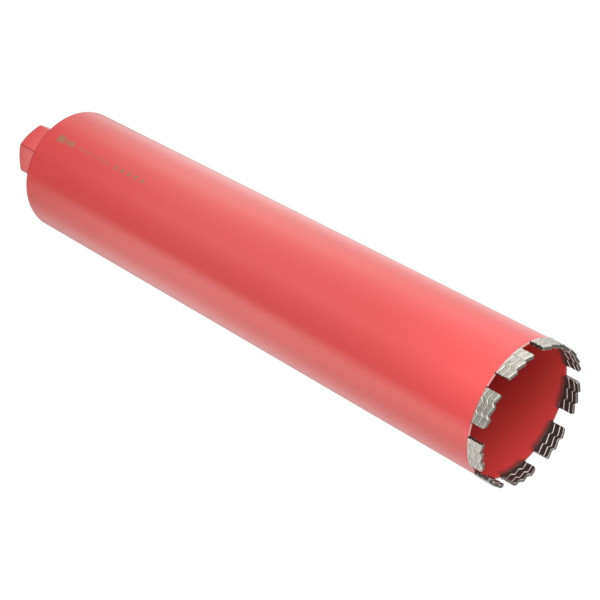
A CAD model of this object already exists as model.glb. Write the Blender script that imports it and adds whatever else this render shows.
from math import cos, pi, radians, sin, tan

import bpy
import numpy as np
from mathutils import Matrix, Vector


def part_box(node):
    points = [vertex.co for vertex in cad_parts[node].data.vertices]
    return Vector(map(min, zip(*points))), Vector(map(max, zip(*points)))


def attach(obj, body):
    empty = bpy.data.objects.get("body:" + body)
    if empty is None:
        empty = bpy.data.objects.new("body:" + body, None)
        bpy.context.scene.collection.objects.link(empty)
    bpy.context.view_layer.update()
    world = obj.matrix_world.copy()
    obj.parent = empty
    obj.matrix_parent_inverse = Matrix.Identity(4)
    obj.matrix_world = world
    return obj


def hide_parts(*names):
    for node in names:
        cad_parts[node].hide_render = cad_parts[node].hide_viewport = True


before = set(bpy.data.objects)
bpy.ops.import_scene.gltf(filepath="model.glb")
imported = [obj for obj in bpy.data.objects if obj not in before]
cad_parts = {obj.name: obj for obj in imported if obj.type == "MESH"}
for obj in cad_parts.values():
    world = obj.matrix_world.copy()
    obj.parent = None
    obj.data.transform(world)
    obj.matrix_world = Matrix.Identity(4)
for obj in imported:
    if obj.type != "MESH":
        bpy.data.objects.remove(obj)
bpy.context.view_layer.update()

# The finish of a wet core bit: a lacquered barrel and hub, nine sintered cutting segments on their
# brazed joints, and a row of plain etched marks. Lengths are in metres, and named angles in degrees
# unless a comment says otherwise. +Z is the bit's axis, from the hub to the cutting end. The bit
# stands on the hub.

MM = 0.001

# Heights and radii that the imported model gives
TUBE_LOW, TUBE_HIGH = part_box("barrel_tube")
PLATE_LOW, PLATE_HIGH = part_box("back_plate")
HUB_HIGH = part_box("hub")[1]
SEGMENT_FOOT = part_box("segment_1")[0].z
SEGMENT_COUNT = sum(name.startswith("segment_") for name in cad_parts)
TUBE_RADIUS = TUBE_HIGH.x
TUBE_BACK = TUBE_LOW.z
TUBE_RIM = TUBE_HIGH.z

# Barrel and plate
TUBE_WALL = 2.0 * MM
BORE_RADIUS = TUBE_RADIUS - TUBE_WALL
TUBE_EDGE = 1.0 * MM              # rounding of the back end's outer edge
RIM_EDGE = 0.15 * MM              # rounding of the other edges
WELD_GROOVE = 4.0 * MM            # width and depth of the bevel round the plate

# Hub
HEX_ACROSS_FLATS = 2 * HUB_HIGH.x
HEX_LENGTH = 32.0 * MM
HEX_CORNER_TRIM = 0.37 * MM
HEX_CHAMFER = tan(radians(30))    # rise of the cone that trims the hexagon's ends
HEX_FACE_MARGIN = 1.0 * MM        # from the hexagon's flats in to its round end face
NECK_RADIUS = 20.075 * MM
SPIGOT_RADIUS = 18.075 * MM
PLATE_HOLE = SPIGOT_RADIUS + 0.1 * MM
THREAD_MINOR = 14.0 * MM
THREAD_MAJOR = 15.875 * MM
THREAD_MOUTH = THREAD_MAJOR + 0.4 * MM      # radius of the chamfer at the thread's ends
THREAD_PITCH = 25.4 / 7 * MM

# Segments
SEGMENT_TURN = 34.1               # of the first segment's middle about the axis
SEGMENT_LENGTH = 24.5 * MM        # along the outer face
SEGMENT_OUTER = TUBE_RADIUS + 0.7 * MM
SEGMENT_INNER = BORE_RADIUS - 0.3 * MM
SEGMENT_HEIGHT = 10.0 * MM
RAMP_COUNT = 3
RAMP_RISE = 1.9 * MM
JOGGLE_LENGTH = 1.7 * MM
RIDGE_PITCH = 4.3 * MM
RIDGE_DEPTH = 0.45 * MM
RIDGE_FLANK = 0.6 * MM            # height of a steep flank
FIRST_FLANK = 0.35 * MM           # height of the outer face's first flank above the foot
CROWN_LAND = 0.2 * MM             # least height between a flank and the crown's chamfer
CROWN_CHAMFER = 0.4 * MM
CORNER_RADIUS = 1.4 * MM
SEGMENT_SPAN = SEGMENT_LENGTH / SEGMENT_OUTER       # in radians


# Shapes

TURNED_SHARP = 35.0               # angle from which a turned piece's edge is sharp
GRAINED_SHARP = 60.0              # the same for a piece with grit or beads
TINY = 1e-12


def placed(name, data):
    """A new object, added to the scene."""
    made = bpy.data.objects.new(name, data)
    bpy.context.scene.collection.objects.link(made)
    return made


def mesh_object(name, points, faces, material, sharp=TURNED_SHARP):
    """A piece of the bit from its points and faces, smooth but for its sharp edges."""
    mesh = bpy.data.meshes.new(name)
    mesh.from_pydata(points.reshape(-1, 3).tolist(), [], faces)
    mesh.shade_smooth()
    mesh.set_sharp_from_angle(angle=radians(sharp))
    mesh.materials.append(material)
    piece = placed(name, mesh)
    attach(piece, "root")
    return piece


def grid_faces(rows, columns, wrap_rows=False, wrap_columns=False):
    """The quads between neighbouring points of a grid, wrapped round where asked."""
    index = np.arange(rows * columns).reshape(rows, columns)
    if wrap_rows:
        index = np.vstack([index, index[:1]])
    if wrap_columns:
        index = np.hstack([index, index[:, :1]])
    corners = [index[:-1, :-1], index[:-1, 1:], index[1:, 1:], index[1:, :-1]]
    return np.stack(corners, -1).reshape(-1, 4).tolist()


def ladder_faces(rows, columns):
    """The quads that close a grid's first and last column, between mirrored points of each."""
    half = np.arange(rows // 2 - 1)
    ladder = np.stack([half, half + 1, rows - 2 - half, rows - 1 - half], -1) * columns
    return ladder.tolist() + (ladder[:, ::-1] + columns - 1).tolist()


def give_attribute(piece, name, values):
    """A number for each of a piece's points, for its material to read."""
    layer = piece.data.attributes.new(name, "FLOAT", "POINT")
    layer.data.foreach_set("value", np.ravel(values).astype(np.float32))


def polar(radius, turn, height):
    """Points at a radius from the axis, a turn in radians about it, and a height along it."""
    radius, turn, height = np.broadcast_arrays(radius, turn, height)
    return np.stack([radius * np.cos(turn), radius * np.sin(turn), height], -1)


def unit(vectors):
    """Vectors along the last axis brought to length 1."""
    return vectors / np.maximum(np.linalg.norm(vectors, axis=-1, keepdims=True), TINY)


def arc_corner(before, corner, after, radius, steps=5):
    """A corner rounded by an arc tangent to its two sides, for each column of points at once.

    The arc's centre lies on the corner's bisector, at the radius over the sine of half the angle.
    """
    to_before, to_after = unit(before - corner), unit(after - corner)
    cosine = (to_before * to_after).sum(-1, keepdims=True)
    half = np.arccos(np.clip(cosine, -1, 1)) / 2
    centre = corner + unit(to_before + to_after) * radius / np.sin(half)
    start = corner + to_before * radius / np.tan(half) - centre
    end = corner + to_after * radius / np.tan(half) - centre
    shares = np.linspace(0, 1, steps)
    return [centre + radius * unit(start + (end - start) * share) for share in shares]


def rounded_outline(*corners):
    """A closed outline from (radius, height, rounding) corners, as (rows, columns, 2) points.

    A radius or a height is one number, or a row of numbers with one for each column.
    """
    places = [np.stack(np.broadcast_arrays(*map(np.atleast_1d, corner[:2])), -1)
              for corner in corners]
    columns = max(len(place) for place in places)
    places = [np.broadcast_to(place, (columns, 2)).astype(float) for place in places]
    rows = []
    for i, (place, rounding) in enumerate(zip(places, (corner[2] for corner in corners))):
        if rounding:
            rows += arc_corner(places[i - 1], place, places[(i + 1) % len(places)], rounding)
        else:
            rows.append(place)
    return np.stack(rows)


def turned_piece(name, outline, turn, material):
    """A closed piece of revolution from a (rows, columns, 2) outline of radii and heights.

    The outline runs anticlockwise, with the radius to the right and the height up, and turn holds
    each column's turn about the axis.
    """
    faces = grid_faces(len(outline), len(turn), wrap_rows=True, wrap_columns=True)
    return mesh_object(name, polar(outline[..., 0], turn, outline[..., 1]), faces, material)


def around(columns):
    """The turns, in radians, of so many columns spaced evenly about the axis."""
    return 2 * pi * np.arange(columns) / columns


def smoothed(values, reach):
    """A row of values, each replaced by the mean of its neighbours under a bell of some reach."""
    tail = 3 * reach
    bell = np.exp(-0.5 * (np.arange(-tail, tail + 1) / reach) ** 2)
    padded = np.pad(values, tail, mode="edge")
    return np.convolve(padded, bell / bell.sum(), mode="valid")


def ease(share):
    """The smooth step 3s^2 - 2s^3 of a share that is held between 0 and 1."""
    share = np.clip(share, 0, 1)
    return share * share * (3 - 2 * share)


def mottle(rows, columns, grain, draws):
    """Random heights on a grid, blurred over a grain of so many steps, with a spread of 1."""
    noise = draws.standard_normal((rows, columns))
    down = np.fft.fftfreq(rows)[:, None]
    across = np.fft.fftfreq(columns)[None, :]
    blur = np.exp(-2 * (pi * grain) ** 2 * (down ** 2 + across ** 2))
    field = np.real(np.fft.ifft2(np.fft.fft2(noise) * blur))
    return field / field.std()


# Segments

FACE_STEP = 0.2 * MM              # between the points of a segment's faces
END_ROUNDING = 0.2 * MM           # of the edges round a segment's end faces
ROUNDING_STEPS = 4
BEVEL_STEPS = 4
CROWN_POINTS = 14
RIDGE_POINTS = 401                # fine points at which the ridges are worked out
RIDGE_SOFTNESS = 3                # fine steps over which the ridges' corners are rounded
CLIMB_POINTS = 601                # fine points at which the climb is worked out
CLIMB_SOFTNESS = 8                # fine steps over which the joggles' corners are rounded
STRETCH = FIRST_FLANK - RIDGE_FLANK / 2     # height of the part that takes up the climb
STRETCH_ROWS = 5
CORNER_FALL = 3 * CORNER_RADIUS   # depth below the crown that falls with its rounded ends
GRIT_HEIGHT = 0.022 * MM
GRIT_GRAIN = 1.2                  # in steps of the grid
GRIT_LEVEL = 1.5                  # mean depth of the grit, in spreads
GRIT_LIMIT = 3                    # greatest depth of the grit, in spreads
GRIT_MARGIN = 3 * END_ROUNDING    # length at each end over which the grit fades
FAINT_LINE = 0.62                 # how far the lines between the flanks are rubbed
FAINT_WIDTH = 0.2 * MM
FOOT_LINE = 0.9                   # how far the inner face's foot is rubbed


def ridge_relief(height, first_flank):
    """How deep a segment's face lies below its crests at each height above the foot.

    Past each steep flank the face is a ridge's depth lower, and then climbs evenly to the next. The
    crown cuts off the last climb.
    """
    knots, depths = [0.0], [0.0]
    top = SEGMENT_HEIGHT - CROWN_CHAMFER
    flank = first_flank
    while flank + RIDGE_FLANK / 2 < top - CROWN_LAND:
        knots += [flank - RIDGE_FLANK / 2, flank + RIDGE_FLANK / 2]
        depths += [0.0, RIDGE_DEPTH]
        flank += RIDGE_PITCH
    slope_left = 1 - (top - knots[-1]) / (RIDGE_PITCH - RIDGE_FLANK)
    knots.append(top)
    depths.append(RIDGE_DEPTH * max(0.0, slope_left))
    fine = np.linspace(0, top, RIDGE_POINTS)
    return np.interp(height, fine, smoothed(np.interp(fine, knots, depths), RIDGE_SOFTNESS))


def crown_climb(distance):
    """How far the crown and ridges have climbed at a distance from the segment's low end.

    Each ramp climbs evenly, and falls back over a joggle.
    """
    ramp_length = (SEGMENT_LENGTH - (RAMP_COUNT - 1) * JOGGLE_LENGTH) / RAMP_COUNT
    knots, climbs = [], []
    for ramp in range(RAMP_COUNT):
        start = ramp * (ramp_length + JOGGLE_LENGTH)
        knots += [start, start + ramp_length]
        climbs += [0.0, RAMP_RISE]
    fine = np.linspace(0, SEGMENT_LENGTH, CLIMB_POINTS)
    return np.interp(distance, fine, smoothed(np.interp(fine, knots, climbs), CLIMB_SOFTNESS))


def rubbed_share(height, relief, first_flank):
    """How far a face is rubbed bright: fully on the flanks, and faintly on a line between each two.

    A flank's share is its slope over a straight flank's slope. The faint line is a bell round the
    middle between two flanks. Another bell, past each flank's foot, brings the share below 0 in the
    groove, where dirt gathers.
    """
    flank = np.clip(np.gradient(relief, height) * RIDGE_FLANK / RIDGE_DEPTH, 0, 1)
    past_flank = (height - first_flank) % RIDGE_PITCH
    faint = FAINT_LINE * np.exp(-((past_flank - RIDGE_PITCH / 2) / FAINT_WIDTH) ** 2)
    groove = np.exp(-((past_flank - RIDGE_FLANK / 2 - FAINT_WIDTH) / FAINT_WIDTH) ** 2)
    return np.maximum(flank, faint) - groove * (flank < 0.5)


def segment_section():
    """A segment's section, up the outside, over the crown and down the inside.

    Four rows are given: the radius, the height above the foot, how far a point is rubbed bright,
    and 1 on the inner face and 0 elsewhere. The same number of points lies on both faces, so that
    opposite points can be joined. The lowest few lie in the part that the ramps stretch.
    """
    top = SEGMENT_HEIGHT - CROWN_CHAMFER
    stretched = np.linspace(0, STRETCH, STRETCH_ROWS + 1)[:-1]
    height = np.concatenate([stretched, np.linspace(STRETCH, top, int(round(top / FACE_STEP)))])
    flanks = (FIRST_FLANK, FIRST_FLANK + RIDGE_PITCH / 2)
    reliefs = [ridge_relief(height, flank) for flank in flanks]
    outer = SEGMENT_OUTER - reliefs[0]
    inner = SEGMENT_INNER + reliefs[1]
    rubbed = [rubbed_share(height, relief, flank) for relief, flank in zip(reliefs, flanks)]
    rubbed[1][0] = FOOT_LINE
    bevel = radians(90) * np.arange(1, BEVEL_STEPS) / BEVEL_STEPS
    crown = np.linspace(outer[-1] - CROWN_CHAMFER, inner[-1] + CROWN_CHAMFER, CROWN_POINTS)
    radius = np.concatenate([
        outer,
        outer[-1] - CROWN_CHAMFER * (1 - np.cos(bevel)),
        crown,
        inner[-1] + CROWN_CHAMFER * (1 - np.cos(bevel[::-1])),
        inner[::-1],
    ])
    above = np.concatenate([
        height,
        top + CROWN_CHAMFER * np.sin(bevel),
        np.full(len(crown), SEGMENT_HEIGHT),
        top + CROWN_CHAMFER * np.sin(bevel[::-1]),
        height[::-1],
    ])
    over_crown = np.repeat([0.0, 1.0], [len(bevel) + len(crown), len(bevel)])
    rubbed = np.concatenate([rubbed[0], over_crown, rubbed[1][::-1]])
    inside = np.repeat([0.0, 1.0], [len(radius) - len(inner), len(inner)])
    return radius, above, rubbed, inside


def inset(radius, height, depth):
    """Each column's outline moved inwards by a depth, square to itself."""
    along_r = np.roll(radius, -1, 0) - np.roll(radius, 1, 0)
    along_h = np.roll(height, -1, 0) - np.roll(height, 1, 0)
    length = np.maximum(np.hypot(along_r, along_h), TINY)
    return radius - depth * along_h / length, height + depth * along_r / length


def segment_piece(name, middle, material, seed):
    """A cutting segment: its section carried along its arc, lifted by the climb, with rounded ends.

    A point's height is its height in the section, plus the climb where it is above the foot, less
    the drop of the crown's rounded ends: r - sqrt(r^2 - (r - d)^2) at a distance d from an end. The
    attribute "rubbed" is 1 on the ridges' steep flanks and below 0 in their grooves, and "inside"
    is 1 on the inner face.
    """
    draws = np.random.default_rng(seed)
    rounding = radians(90) * np.arange(ROUNDING_STEPS, 0, -1) / ROUNDING_STEPS
    near_end = END_ROUNDING * (1 - np.sin(rounding))
    columns = int(SEGMENT_LENGTH / FACE_STEP)
    body = np.linspace(END_ROUNDING, SEGMENT_LENGTH - END_ROUNDING, columns)
    distance = np.concatenate([near_end, body, SEGMENT_LENGTH - near_end[::-1]])[::-1]
    depth = END_ROUNDING * (1 - np.cos(rounding))
    depth = np.concatenate([depth, np.zeros(len(body)), depth[::-1]])
    radius, above, rubbed, inside = (values[:, None] for values in segment_section())
    from_end = np.minimum(distance, SEGMENT_LENGTH - distance)
    short = np.clip(CORNER_RADIUS - from_end, 0, CORNER_RADIUS)
    drop = CORNER_RADIUS - np.sqrt(CORNER_RADIUS ** 2 - short ** 2)
    lift = crown_climb(distance) * np.clip(above / STRETCH, 0, 1) * radius / SEGMENT_OUTER
    fall = drop * ease((above - (SEGMENT_HEIGHT - CORNER_FALL)) / CORNER_FALL)
    height = SEGMENT_FOOT + above + lift - fall
    spots = mottle(*height.shape, GRIT_GRAIN, draws) + GRIT_LEVEL
    grit = GRIT_HEIGHT * np.clip(spots, 0, GRIT_LIMIT) * (above > 0) * ease(from_end / GRIT_MARGIN)
    radius, height = inset(np.broadcast_to(radius, height.shape), height, depth + grit)
    turn = radians(middle) + (SEGMENT_LENGTH / 2 - distance) / SEGMENT_OUTER
    faces = grid_faces(*height.shape, wrap_rows=True) + ladder_faces(*height.shape)
    piece = mesh_object(name, polar(radius, turn, height), faces, material, GRAINED_SHARP)
    give_attribute(piece, "rubbed", np.broadcast_to(rubbed, radius.shape))
    give_attribute(piece, "inside", np.broadcast_to(inside, radius.shape))
    return piece


# Brazed joints

BRAZE_FILLET = 0.25 * MM          # out from the tube's walls and down along them
BRAZE_SINK = 0.05 * MM            # how far a bead reaches into the lacquer
BRAZE_COLUMNS = 72
BEAD_POINTS = 7
BEAD_THINNING = 0.35              # greatest share by which a bead is thinner than the fillet
BEAD_SOFTNESS = 2                 # columns over which the thinning is smoothed
CRATER = 1.1 * MM                 # length of the burnt spot at each end of a joint


def braze_piece(name, middle, material, seed):
    """A brazed joint: a film on the rim with a hollow bead along each side of the tube's wall.

    Each bead follows a quarter circle from the wall to the segment, and is thinned at random along
    its length. The attribute "burnt" is 1 at the joint's ends and 0 between them.
    """
    draws = np.random.default_rng(seed)
    share = np.linspace(-1, 1, BRAZE_COLUMNS)
    turn = radians(middle) + share * SEGMENT_SPAN / 2
    thinning = BEAD_THINNING * ease(smoothed(draws.random(BRAZE_COLUMNS), BEAD_SOFTNESS))
    fillet = BRAZE_FILLET * (1 - thinning)
    quarter = radians(90) * np.linspace(0, 1, BEAD_POINTS)[:, None]
    out = np.pad(fillet * (1 - np.cos(quarter)), ((1, 0), (0, 0)))
    up = TUBE_RIM - fillet + (fillet + SEGMENT_FOOT - TUBE_RIM) * np.sin(quarter)
    up = np.vstack([np.full(BRAZE_COLUMNS, TUBE_RIM), up])
    outer = TUBE_RADIUS - BRAZE_SINK + out
    inner = BORE_RADIUS + BRAZE_SINK - out
    radius = np.vstack([outer, inner[::-1]])
    height = np.vstack([up, up[::-1]])
    faces = grid_faces(*radius.shape, wrap_rows=True) + ladder_faces(*radius.shape)
    piece = mesh_object(name, polar(radius, turn, height), faces, material, GRAINED_SHARP)
    from_end = (1 - np.abs(share)) * SEGMENT_LENGTH / 2
    give_attribute(piece, "burnt", np.broadcast_to(1 - ease(from_end / CRATER), radius.shape))
    return piece


# Barrel, plate and welds

BARREL_COLUMNS = 360
BEAD_RIPPLE = 0.12 * MM           # how far a weld's scales stand out
BEAD_SCALE = 1.6 * MM             # length of one scale of a weld
SCALE_COLUMNS = 12                # columns of points in one scale
BEAD_ROWS = 13
SCALE_WANDER = 2.0                # random drift of the scales, in radians of their wave
WANDER_REACH = 8                  # columns over which the drift is smoothed
CRESCENT = 1.6                    # lag of the scales at a bead's edges, in radians of their wave
BARREL_WELD_CROWN = 0.6 * MM
HUB_WELD_CROWN = 0.3 * MM
HUB_WELD_LEG = 4 * MM


def barrel_outline():
    """The tube's wall in section, with its back end's outer edge well rounded."""
    return rounded_outline(
        (BORE_RADIUS, TUBE_BACK, RIM_EDGE),
        (TUBE_RADIUS, TUBE_BACK, TUBE_EDGE),
        (TUBE_RADIUS, TUBE_RIM, RIM_EDGE),
        (BORE_RADIUS, TUBE_RIM, RIM_EDGE),
    )


def plate_outline():
    """The back plate in section, with its weld groove and the hub's hole."""
    rim = PLATE_HIGH.x
    return rounded_outline(
        (PLATE_HOLE, PLATE_LOW.z, RIM_EDGE),
        (rim - WELD_GROOVE, PLATE_LOW.z, 0),
        (rim, PLATE_LOW.z + WELD_GROOVE, 0),
        (rim, PLATE_HIGH.z, RIM_EDGE),
        (PLATE_HOLE, PLATE_HIGH.z, RIM_EDGE),
    )


def weld_piece(name, toe, heel, root, crown, material, seed):
    """A ring of weld: its bead bulges from toe to heel, and its root fills the corner behind them.

    Toe, heel and root are (radius, height) points. The bead's face is a half sine of the crown's
    height above the line from toe to heel. Scales lie along it as sine waves that lag towards the
    bead's edges, which bends each scale into a crescent.
    """
    draws = np.random.default_rng(seed)
    toe, heel, root = (np.array(point) for point in (toe, heel, root))
    count = int(2 * pi * toe[0] / BEAD_SCALE)
    turn = around(SCALE_COLUMNS * count)
    across = np.linspace(0, 1, BEAD_ROWS)[:, None]
    bulge = np.sin(pi * across)
    wander = SCALE_WANDER * smoothed(draws.standard_normal(len(turn)), WANDER_REACH)
    wave = np.cos(count * turn + wander + CRESCENT * (1 - bulge))
    rise = bulge * (crown - BEAD_RIPPLE * (1 + wave))
    side = unit(heel - toe)
    outward = np.array([side[1], -side[0]])
    face = toe + across[..., None] * (heel - toe) + rise[..., None] * outward
    face = np.broadcast_to(face, (len(across), len(turn), 2))
    corner = np.broadcast_to(root, (1, len(turn), 2))
    return turned_piece(name, np.concatenate([face, corner]), turn, material)


# Hub

SECTOR_COLUMNS = 30               # in a sixth of the hub, closer near the hexagon's corners
HEX_FLAT = HEX_ACROSS_FLATS / 2
HEX_CORNER = HEX_FLAT / cos(radians(30)) - HEX_CORNER_TRIM
CORNER_SOFTNESS = 0.06 * MM       # how softly the hexagon's corners are rounded
HUB_EDGE = 0.3 * MM
NECK_CONE_LEAST = 0.2 * MM        # height of the neck's cone where the neck meets a flat
THREAD_STEPS = 14                 # rows for each turn of the thread


def hub_turns():
    """The hub's columns: in each sixth, 30 degrees times the sine of evenly spaced angles."""
    share = np.linspace(-1, 1, SECTOR_COLUMNS + 1)[:-1]
    return radians(30) * (2 * np.arange(6)[:, None] + np.sin(radians(90) * share)).ravel()


def hexagon_radius(turn):
    """The hexagon's radius at each turn: the flats' distance over the cosine, or the corners'.

    The lesser of the two is taken softly, by the logarithm of the sum of their exponentials.
    """
    from_flat = (turn + radians(30)) % radians(60) - radians(30)
    side = HEX_FLAT / np.cos(from_flat) / CORNER_SOFTNESS
    return -CORNER_SOFTNESS * np.logaddexp(-side, -HEX_CORNER / CORNER_SOFTNESS)


def thread_radius(turn, height):
    """The thread's radius: a V of about 60 degrees that winds once about the axis in each pitch.

    Within a pitch the crest is flat for a quarter and the root for an eighth.
    """
    place = (height / THREAD_PITCH - turn / (2 * pi)) % 1.0
    depth = np.interp(place, [0, 1 / 8, 7 / 16, 9 / 16, 7 / 8, 1], [0, 0, 1, 1, 0, 0])
    return THREAD_MINOR + (THREAD_MAJOR - THREAD_MINOR) * depth


def hub_piece(material):
    """The hub as one closed grid: up its outside and spigot, and down its threaded bore."""
    turn = hub_turns()
    hexagon = hexagon_radius(turn)
    face = HEX_FLAT - HEX_FACE_MARGIN
    end_cone = (hexagon - face) * HEX_CHAMFER
    neck_cone = np.maximum((hexagon - NECK_RADIUS) * HEX_CHAMFER, NECK_CONE_LEAST)
    top = HUB_HIGH.z
    outside = rounded_outline(
        (THREAD_MOUTH, 0, 0),
        (face, 0, HUB_EDGE),
        (hexagon, end_cone, HUB_EDGE / 2),
        (hexagon, HEX_LENGTH - neck_cone, HUB_EDGE / 2),
        (NECK_RADIUS, HEX_LENGTH, 0),
        (NECK_RADIUS, TUBE_BACK, 0),
        (SPIGOT_RADIUS, TUBE_BACK, 0),
        (SPIGOT_RADIUS, top, HUB_EDGE),
        (THREAD_MOUTH, top, 0),
    )
    rows = int(THREAD_STEPS * top / THREAD_PITCH)
    height = np.broadcast_to(np.linspace(top, 0, rows + 2)[1:-1, None], (rows, len(turn)))
    mouth = THREAD_MOUTH - np.minimum(height, top - height)
    bore = np.maximum(thread_radius(turn, height), mouth)
    outline = np.concatenate([outside, np.stack([bore, height], -1)])
    return turned_piece("hub_body", outline, turn, material)


# Etched marks

MARK_TURN = 244.5
MARK_PROUD = 0.02 * MM            # how far the marks stand above the lacquer
MARK_DEPTH = 0.1 * MM             # how far they reach into it
TICK_POINTS = 9                   # across a tick

# Groups of plain ticks along the barrel: first height, pitch, count, length along the barrel and
# width round it, all in millimetres but the count, and the fade
MARK_GROUPS = (
    (64.5, 2.9, 3, 1.8, 6.2, 0.0),
    (75.0, 2.7, 4, 1.5, 4.4, 0.15),
    (90.5, 2.3, 7, 1.0, 2.4, 0.45),
    (110.0, 2.4, 8, 1.0, 2.6, 0.50),
    (134.6, 7.75, 5, 2.4, 3.4, 0.20),
)


def marks_piece(material):
    """The marks: thin curved tiles let into the lacquer, each a closed box of four rows of points.

    The attribute "fade" says how far a tick's colour goes over to the lacquer's.
    """
    under, over = TUBE_RADIUS - MARK_DEPTH, TUBE_RADIUS + MARK_PROUD
    radius = np.array([under, over, over, under])[:, None]
    box = grid_faces(4, TICK_POINTS, wrap_rows=True) + ladder_faces(4, TICK_POINTS)
    points, faces, fades = [], [], []
    for first, pitch, count, length, width, fade in MARK_GROUPS:
        across = np.linspace(-0.5, 0.5, TICK_POINTS) * width * MM / TUBE_RADIUS
        for tick in range(count):
            low = (first + tick * pitch) * MM
            high = low + length * MM
            height = np.array([low, low, high, high])[:, None]
            tile = polar(radius, radians(MARK_TURN) + across, height)
            faces += (np.array(box) + len(fades)).tolist()
            points.append(tile.reshape(-1, 3))
            fades += [fade] * len(points[-1])
    piece = mesh_object("barrel_marks", np.vstack(points), faces, material)
    give_attribute(piece, "fade", fades)
    return piece


# Shader maths

class Socket:
    """A node's output that takes part in arithmetic: each operator adds a Math node."""

    def __init__(self, graph, link):
        self.graph = graph
        self.link = link

    def maths(self, operation, *others):
        """A Math node of an operation on this socket and the others."""
        sockets = dict(enumerate((self, *others)))
        return self.graph.node("ShaderNodeMath", {"operation": operation}, sockets)

    def __add__(self, other):
        return self.maths("ADD", other)

    def __mul__(self, other):
        return self.maths("MULTIPLY", other)

    def __sub__(self, other):
        return self.maths("SUBTRACT", other)

    def __rsub__(self, other):
        return (self * -1.0).maths("ADD", other)

    def __truediv__(self, other):
        return self.maths("DIVIDE", other)


class Graph:
    """The nodes of a material or of the world, emptied first."""

    def __init__(self, owner):
        owner.use_nodes = True
        self.tree = owner.node_tree
        self.tree.nodes.clear()

    def node(self, kind, settings=None, sockets=None, output=0):
        """Adds a node: its settings are set first, and then its sockets get values or links.

        The setting "stops" is a ramp's list of (place, colour). The chosen output is returned.
        """
        made = self.tree.nodes.new(kind)
        for name, value in (settings or {}).items():
            if name == "stops":
                while len(made.color_ramp.elements) < len(value):
                    made.color_ramp.elements.new(1.0)
                for element, (place, colour) in zip(made.color_ramp.elements, value):
                    element.position = place
                    element.color = (*colour, 1.0)
            else:
                setattr(made, name, value)
        for name, value in (sockets or {}).items():
            if isinstance(value, Socket):
                self.tree.links.new(value.link, made.inputs[name])
            else:
                made.inputs[name].default_value = value
        return Socket(self, made.outputs[output]) if len(made.outputs) else None

    def step(self, value, low, high):
        """0 at low, 1 at high and a smooth step between them, whichever of the two is greater."""
        sockets = {"Value": value, "From Min": low, "From Max": high}
        return self.node("ShaderNodeMapRange", {"interpolation_type": "SMOOTHSTEP"}, sockets)

    def between(self, share, low, high):
        """A number that goes from low to high as a share goes from 0 to 1."""
        return share * (high - low) + low

    def noise(self, scale, detail=2.0, roughness=0.5):
        """Noise from 0 to 1 with features of 1 / scale metres, fixed to the piece."""
        place = self.node("ShaderNodeTexCoord", output="Object")
        sockets = {"Vector": place, "Scale": scale, "Detail": detail, "Roughness": roughness}
        return self.node("ShaderNodeTexNoise", None, sockets)

    def blend(self, share, near, far):
        """A colour that goes from near to far as a share goes from 0 to 1."""
        near, far = (c if isinstance(c, Socket) else (*c, 1.0) for c in (near, far))
        sockets = {0: share, 6: near, 7: far}
        return self.node("ShaderNodeMix", {"data_type": "RGBA"}, sockets, output=2)

    def attribute(self, name):
        """A number that the piece's points carry."""
        return self.node("ShaderNodeAttribute", {"attribute_name": name}, output="Fac")

    def parts(self, vector):
        """The x, y and z of a vector."""
        return [self.node("ShaderNodeSeparateXYZ", None, {0: vector}, output=axis)
                for axis in range(3)]

    def about_axis(self):
        """A point's distance from the bit's axis, its turn about it in radians, and its height."""
        x, y, z = self.parts(self.node("ShaderNodeTexCoord", output="Object"))
        return (x * x + y * y).maths("SQRT"), y.maths("ARCTAN2", x), z

    def from_segment_end(self, turn):
        """How far round a turn is from a segment's end, in metres on the tube, positive inside it.

        It is good near the ends only: the difference of the cosines of nine times the turns from
        the segment's middle, over the cosine's slope there.
        """
        off_middle = ((turn - radians(SEGMENT_TURN)) * SEGMENT_COUNT).maths("COSINE")
        end = SEGMENT_SPAN / 2 * SEGMENT_COUNT
        return (off_middle - cos(end)) * (TUBE_RADIUS / SEGMENT_COUNT / sin(end))

    def surface(self, sockets):
        """A Principled shader with these sockets, on the material's output."""
        shader = self.node("ShaderNodeBsdfPrincipled", None, sockets)
        self.node("ShaderNodeOutputMaterial", None, {"Surface": shader})

    def bump(self, height, distance):
        """A normal that is tilted by a height from 0 to 1 over a distance in metres."""
        sockets = {"Height": height, "Distance": distance, "Strength": 1.0}
        return self.node("ShaderNodeBump", None, sockets)


# Finishes

LACQUER = (0.74, 0.066, 0.062)
SCORCHED_LACQUER = (0.10, 0.045, 0.038)
BURNT_LACQUER = (0.075, 0.004, 0.003)
WORN_LACQUER = (0.13, 0.012, 0.022)
BARE_EDGE = (0.90, 0.72, 0.66)
MATRIX_LIGHT = (0.50, 0.48, 0.435)
MATRIX_DARK = (0.20, 0.185, 0.155)
MATRIX_BURNT = (0.088, 0.066, 0.061)
MATRIX_RUBBED = (0.92, 0.90, 0.85)
BRAZE_BRIGHT = (0.50, 0.46, 0.36)
BURNT = (0.035, 0.028, 0.022)
ETCHED = (0.21, 0.20, 0.10)

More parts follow.
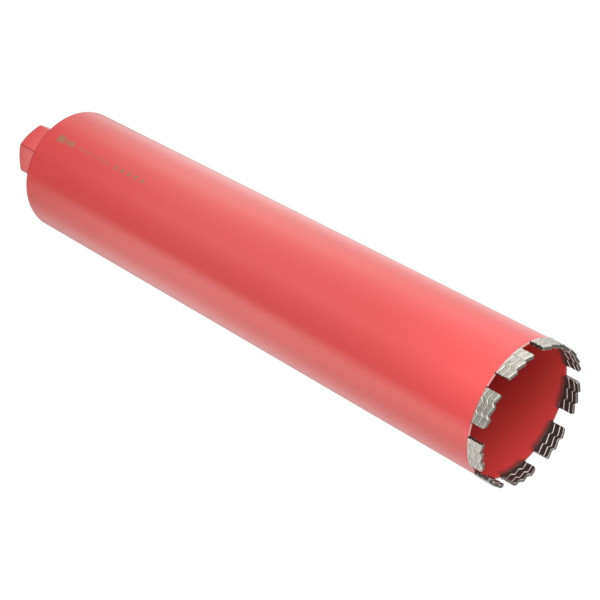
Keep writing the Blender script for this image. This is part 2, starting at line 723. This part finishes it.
# Changes in the lacquer: where each starts and where it is full
SCORCH_ALONG = (-1.7 * MM, 1.7 * MM)        # inwards from a segment's end
SCORCH_UP = (-5.0 * MM, -0.5 * MM)          # above the rim
SCORCH_OUT = (0.9 * MM, 0.3 * MM)           # outwards from the bore
SPOT_REACH = (1.2 * MM, 0.5 * MM)           # from a segment's corner
BARE_UP = (-0.14 * MM, -0.06 * MM)          # above the rim
BARE_OUT = (-1.1 * MM, -0.8 * MM)           # outwards from the tube's outside
BACK_UP = (1.4 * MM, 0.7 * MM)              # above the tube's back end
BACK_OUT = (-1.0 * MM, -0.9 * MM)           # outwards from the tube's outside
CONE_UP = (0.8 * MM, 0.3 * MM)              # above the hexagon's end cone
CONE_OUT = (-0.5 * MM, -0.25 * MM)          # outwards from the hexagon's flats
CORNER_UP = (1.0 * MM, 0.0)                 # above the hexagon's inner end
CORNER_OUT = (-0.02 * MM, -0.003 * MM)      # outwards from the hexagon's corners
SCORCH_SHARE = 0.85
SCORCH_ROUGHNESS = 0.3                      # added where the lacquer is scorched
WORN_SHARE = 0.85
CORNER_SHARE = 0.5                          # of the wear elsewhere
TONE_SPREAD = 0.024                         # share by which the lacquer's colour wanders
TONE_SCALE = 22.0                           # noise features in a metre, as each scale below
SHEEN_SCALE = 160.0
PEEL_SCALE = 700.0
PEEL_DEPTH = 0.006 * MM

# Changes in the sintered metal
BURNT_END = (0.12 * MM, 0.04 * MM)          # inwards from a segment's end
BURNT_SHARE = 0.93
RUBBED_LEVELS = (0.5, 1.0)
RUBBED_UNEVENNESS = 0.5
RUBBED_SHARES = (0.75, 0.9)                 # on the outer and on the inner face
GROOVE_LEVELS = (-0.1, -0.9)
GROOVE_SHARE = 0.75
PORE_LEVELS = (0.36, 0.60)                  # of the grain
PATCH_LEVELS = (0.3, 0.6)
PATCH_SHADES = (0.5, 1.0)                   # in the darker patches and elsewhere
GRAIN_SCALE = 2600.0
GRAIN_DEPTH = 0.05 * MM
PATCH_SCALE = 520.0

BRAZE_SCALE = 1500.0
BRAZE_DEPTH = 0.03 * MM
MARK_SCALE = 1800.0
MARK_UNEVENNESS = 0.5


def coral_lacquer():
    """Semi-gloss lacquer with a faint orange peel.

    The brazing has scorched it inside the barrel under each segment, and burnt it in a spot at each
    segment's corners. It is bare on the rim's outer edge, and worn dark on the tube's back edge, on
    the edge of the hexagon's end cone, and at the hexagon's corners near its inner end.
    """
    material = bpy.data.materials.new("coral_lacquer")
    graph = Graph(material)
    from_axis, turn, z = graph.about_axis()
    from_end = graph.from_segment_end(turn)
    above_rim = z - TUBE_RIM
    past_tube = from_axis - TUBE_RADIUS
    scorch = graph.step(from_end, *SCORCH_ALONG) * graph.step(above_rim, *SCORCH_UP)
    scorch = scorch * graph.step(from_axis - BORE_RADIUS, *SCORCH_OUT) * SCORCH_SHARE
    from_corner = (from_end * from_end + above_rim * above_rim).maths("SQRT")
    spot = graph.step(from_corner, *SPOT_REACH)
    bare = graph.step(above_rim, *BARE_UP) * graph.step(past_tube, *BARE_OUT)
    back_edge = graph.step(z - TUBE_BACK, *BACK_UP) * graph.step(past_tube, *BACK_OUT)
    past_flat = from_axis * turn.maths("PINGPONG", radians(30)).maths("COSINE") - HEX_FLAT
    above_cone = z - (from_axis - HEX_FLAT + HEX_FACE_MARGIN) * HEX_CHAMFER
    cone_edge = graph.step(past_flat, *CONE_OUT) * graph.step(above_cone, *CONE_UP)
    corner = graph.step(from_axis - HEX_CORNER, *CORNER_OUT)
    corner = corner * graph.step(z - HEX_LENGTH, *CORNER_UP) * CORNER_SHARE
    worn = cone_edge.maths("MAXIMUM", corner).maths("MAXIMUM", back_edge)
    deep, pale = (tuple(part * (1 + change) for part in LACQUER)
                  for change in (-TONE_SPREAD, TONE_SPREAD))
    tint = graph.blend(graph.noise(TONE_SCALE, detail=3.0), deep, pale)
    tint = graph.blend(scorch, tint, SCORCHED_LACQUER)
    tint = graph.blend(worn * WORN_SHARE, tint, WORN_LACQUER)
    tint = graph.blend(spot, tint, BURNT_LACQUER)
    sheen = graph.noise(SHEEN_SCALE, detail=3.0)
    graph.surface({
        "Base Color": graph.blend(bare * (1.0 - spot), tint, BARE_EDGE),
        "Roughness": graph.between(sheen, 0.20, 0.26) + scorch * SCORCH_ROUGHNESS,
        "IOR": 1.5,
        "Normal": graph.bump(graph.noise(PEEL_SCALE), PEEL_DEPTH),
    })
    return material


def sintered_metal():
    """Sintered matrix, grained and porous, and burnt dark on the inner face and at the ends.

    It is rubbed bright on the ridges' flanks and on faint lines between them, and dark in the
    grooves past the flanks.
    """
    material = bpy.data.materials.new("sintered_metal")
    graph = Graph(material)
    turn = graph.about_axis()[1]
    end = graph.step(graph.from_segment_end(turn), *BURNT_END)
    rubbed, inside = graph.attribute("rubbed"), graph.attribute("inside")
    grain = graph.noise(GRAIN_SCALE, detail=3.0, roughness=0.6)
    patches = graph.noise(PATCH_SCALE)
    pores = graph.step(grain, *PORE_LEVELS)
    shade = pores * graph.between(graph.step(patches, *PATCH_LEVELS), *PATCH_SHADES)
    colour = graph.blend(shade, MATRIX_DARK, MATRIX_LIGHT)
    colour = graph.blend(inside.maths("MAXIMUM", end) * BURNT_SHARE, colour, MATRIX_BURNT)
    colour = graph.blend(graph.step(rubbed, *GROOVE_LEVELS) * GROOVE_SHARE, colour, MATRIX_BURNT)
    bright = graph.step(rubbed + (patches - 0.5) * RUBBED_UNEVENNESS, *RUBBED_LEVELS)
    bright = bright * graph.between(inside, *RUBBED_SHARES)
    graph.surface({
        "Base Color": graph.blend(bright, colour, MATRIX_RUBBED),
        "Metallic": graph.between(inside, 0.9, 0.6),
        "Roughness": graph.between(pores, 0.50, 0.32),
        "Normal": graph.bump(grain, GRAIN_DEPTH),
    })
    return material


def braze_alloy():
    """Braze that has run along the joint: bright between the ends, and burnt dark at them."""
    material = bpy.data.materials.new("braze_alloy")
    graph = Graph(material)
    burnt = graph.attribute("burnt")
    speckle = graph.noise(BRAZE_SCALE)
    darkness = (burnt + speckle * burnt).maths("MINIMUM", 1.0)
    graph.surface({
        "Base Color": graph.blend(darkness, BRAZE_BRIGHT, BURNT),
        "Metallic": graph.between(burnt, 0.8, 0.1),
        "Roughness": graph.between(speckle, 0.35, 0.55),
        "Normal": graph.bump(speckle, BRAZE_DEPTH),
    })
    return material


def etched_mark():
    """Marks burnt into the lacquer: dull olive, and fainter from group to group."""
    material = bpy.data.materials.new("etched_mark")
    graph = Graph(material)
    speckle = graph.noise(MARK_SCALE)
    uneven = graph.attribute("fade") + (speckle - 0.5) * MARK_UNEVENNESS
    graph.surface({
        "Base Color": graph.blend(uneven.maths("MAXIMUM", 0.0), ETCHED, LACQUER),
        "Roughness": graph.between(speckle, 0.40, 0.60),
    })
    return material


# The bit

BARREL_WELD_SEED = 21
HUB_WELD_SEED = 22
SEGMENT_SEED = 100                # of the first segment, and one more for each next
BRAZE_SEED = 200


def build_bit():
    """Every piece of the bit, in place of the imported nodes."""
    lacquer, sintered, braze = coral_lacquer(), sintered_metal(), braze_alloy()
    rim = PLATE_HIGH.x
    turn = around(BARREL_COLUMNS)
    pieces = [
        (turned_piece("barrel_tube_wall", barrel_outline(), turn, lacquer), "barrel_tube"),
        (turned_piece("back_plate_disc", plate_outline(), turn, lacquer), "back_plate"),
        (hub_piece(lacquer), "hub"),
        (weld_piece("barrel_weld_bead", (rim - WELD_GROOVE, TUBE_BACK), (BORE_RADIUS, TUBE_BACK),
                    (rim, TUBE_BACK + WELD_GROOVE), BARREL_WELD_CROWN, lacquer, BARREL_WELD_SEED),
         "barrel_weld"),
        (weld_piece("hub_weld_bead", (NECK_RADIUS, TUBE_BACK - HUB_WELD_LEG),
                    (NECK_RADIUS + HUB_WELD_LEG, TUBE_BACK), (NECK_RADIUS, TUBE_BACK),
                    HUB_WELD_CROWN, lacquer, HUB_WELD_SEED),
         "hub_weld"),
    ]
    for piece, node in pieces:
        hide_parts(node)
    for index in range(SEGMENT_COUNT):
        middle = SEGMENT_TURN + index * 360 / SEGMENT_COUNT
        number = index + 1
        cutter = segment_piece(f"cutting_segment_{number}", middle, sintered, SEGMENT_SEED + index)
        joint = braze_piece(f"brazed_joint_{number}", middle, braze, BRAZE_SEED + index)
        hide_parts(f"segment_{number}")
        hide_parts(f"braze_{number}")
    marks_piece(etched_mark())


# Studio

CAMERA_PLACE = (-0.10507, -0.91079, 1.00715)
CAMERA_RIGHT = (-0.4116, 0.5835, 0.7001)
CAMERA_UP = (-0.9063, -0.1811, -0.3819)
CAMERA_LENS = 96.57               # in millimetres, as the sensor's width
CAMERA_SENSOR = 36.0
WHITE = (1.0, 1.0, 1.0, 1.0)
FLOOR_REACH = 30.0
FLOOR_GLOW = 0.6                  # brightness with which the floor lights the bit
FLOOR_SEEN = 1.03                 # brightness where the camera sees it

# Brightness of the room by bearing: below the horizon, above it, and round the zenith
BELOW_ROOM = (
    (0, 1.61), (35, 1.32), (65, 0.66), (90, 0.58), (117, 1.46),
    (160, 2.09), (177, 2.83), (197, 2.33), (217, 1.92), (237, 1.58),
    (257, 1.79), (280, 1.03), (312, 0.55), (324, 2.14), (332, 2.70),
)
ABOVE_ROOM = (
    (0, 1.14), (45, 0.82), (90, 0.19), (135, 0.19),
    (180, 1.24), (225, 2.22), (270, 1.62), (315, 0.38),
)
ZENITH_ROOM = ((0, 0.19), (90, 0.19), (180, 0.24), (270, 0.24))
UNDERFOOT = 0.05
ROOM_PEAK = 3.0                   # brightness that the ramps' white stands for

# Where one band of the room goes over to the next, as the sine of the elevation
UNDERFOOT_EDGE = (-0.89, -0.66)
HORIZON_EDGE = (-0.1, 0.1)
ZENITH_EDGE = (0.6, 0.85)

# Soft lamps by the cutting end: bearing, distance from the axis, height, height they aim at, power
LAMPS = (
    (250.0, 0.13, 0.52, 0.52, 0.014),
    (245.0, 0.16, 0.575, 0.49, 0.042),
)
LAMP_SIZE = 0.06


def room():
    """A plain room: bright by bearing in three bands, dark underfoot, and white to the camera."""
    world = bpy.data.worlds.new("studio")
    bpy.context.scene.world = world
    graph = Graph(world)
    x, y, z = graph.parts(graph.node("ShaderNodeTexCoord", output="Generated"))
    bearing = (y.maths("ARCTAN2", x) / (2 * pi)).maths("FRACT")
    light = (UNDERFOOT / ROOM_PEAK,) * 3
    bands = (BELOW_ROOM, ABOVE_ROOM, ZENITH_ROOM)
    for stops, edge in zip(bands, (UNDERFOOT_EDGE, HORIZON_EDGE, ZENITH_EDGE)):
        stops = stops + ((360, stops[0][1]),)
        ramp = [(angle / 360, (level / ROOM_PEAK,) * 3) for angle, level in stops]
        ring = graph.node("ShaderNodeValToRGB", {"stops": ramp}, {"Fac": bearing})
        light = graph.blend(graph.step(z, *edge), light, ring)
    seen = graph.node("ShaderNodeLightPath", output="Is Camera Ray")
    shown = graph.blend(seen, light, (1 / ROOM_PEAK,) * 3)
    backdrop = graph.node("ShaderNodeBackground", None, {"Color": shown, "Strength": ROOM_PEAK})
    graph.node("ShaderNodeOutputWorld", None, {"Surface": backdrop})


def floor():
    """A plain pale floor that the bit stands on."""
    material = bpy.data.materials.new("pale_floor")
    graph = Graph(material)
    seen = graph.node("ShaderNodeLightPath", output="Is Camera Ray")
    glows = [graph.node("ShaderNodeEmission", None, {"Color": WHITE, "Strength": strength})
             for strength in (FLOOR_GLOW, FLOOR_SEEN)]
    glow = graph.node("ShaderNodeMixShader", None, {"Fac": seen, 1: glows[0], 2: glows[1]})
    graph.node("ShaderNodeOutputMaterial", None, {"Surface": glow})
    corners = np.array([(-1, -1, 0), (1, -1, 0), (1, 1, 0), (-1, 1, 0)]) * FLOOR_REACH
    mesh = bpy.data.meshes.new("studio_floor")
    mesh.from_pydata(corners.tolist(), [], [(0, 1, 2, 3)])
    mesh.materials.append(material)
    plane = placed("studio_floor", mesh)
    plane.visible_glossy = False


def lamps():
    """Small soft lamps beside the cutting end, turned to the axis, which no gloss shows."""
    for number, (bearing, distance, height, aim_height, power) in enumerate(LAMPS):
        data = bpy.data.lights.new(f"front_lamp_{number + 1}", "AREA")
        data.size = LAMP_SIZE
        data.energy = power
        lamp = placed(data.name, data)
        place = Vector(polar(distance, radians(bearing), height))
        aim = (Vector((0.0, 0.0, aim_height)) - place).to_track_quat("-Z", "Z")
        lamp.matrix_world = Matrix.Translation(place) @ aim.to_matrix().to_4x4()
        lamp.visible_camera = False
        lamp.visible_glossy = False


def camera():
    """The camera, from its place and the directions of its right and up."""
    right, up = Vector(CAMERA_RIGHT).normalized(), Vector(CAMERA_UP).normalized()
    back = right.cross(up)
    data = bpy.data.cameras.new("camera")
    data.sensor_fit = "HORIZONTAL"
    data.sensor_width = CAMERA_SENSOR
    data.lens = CAMERA_LENS
    view = placed("camera", data)
    turned = Matrix((right, up, back)).transposed().to_4x4()
    view.matrix_world = Matrix.Translation(CAMERA_PLACE) @ turned
    bpy.context.scene.camera = view


camera()
build_bit()
floor()
room()
lamps()
bpy.context.scene.view_settings.view_transform = "Standard"
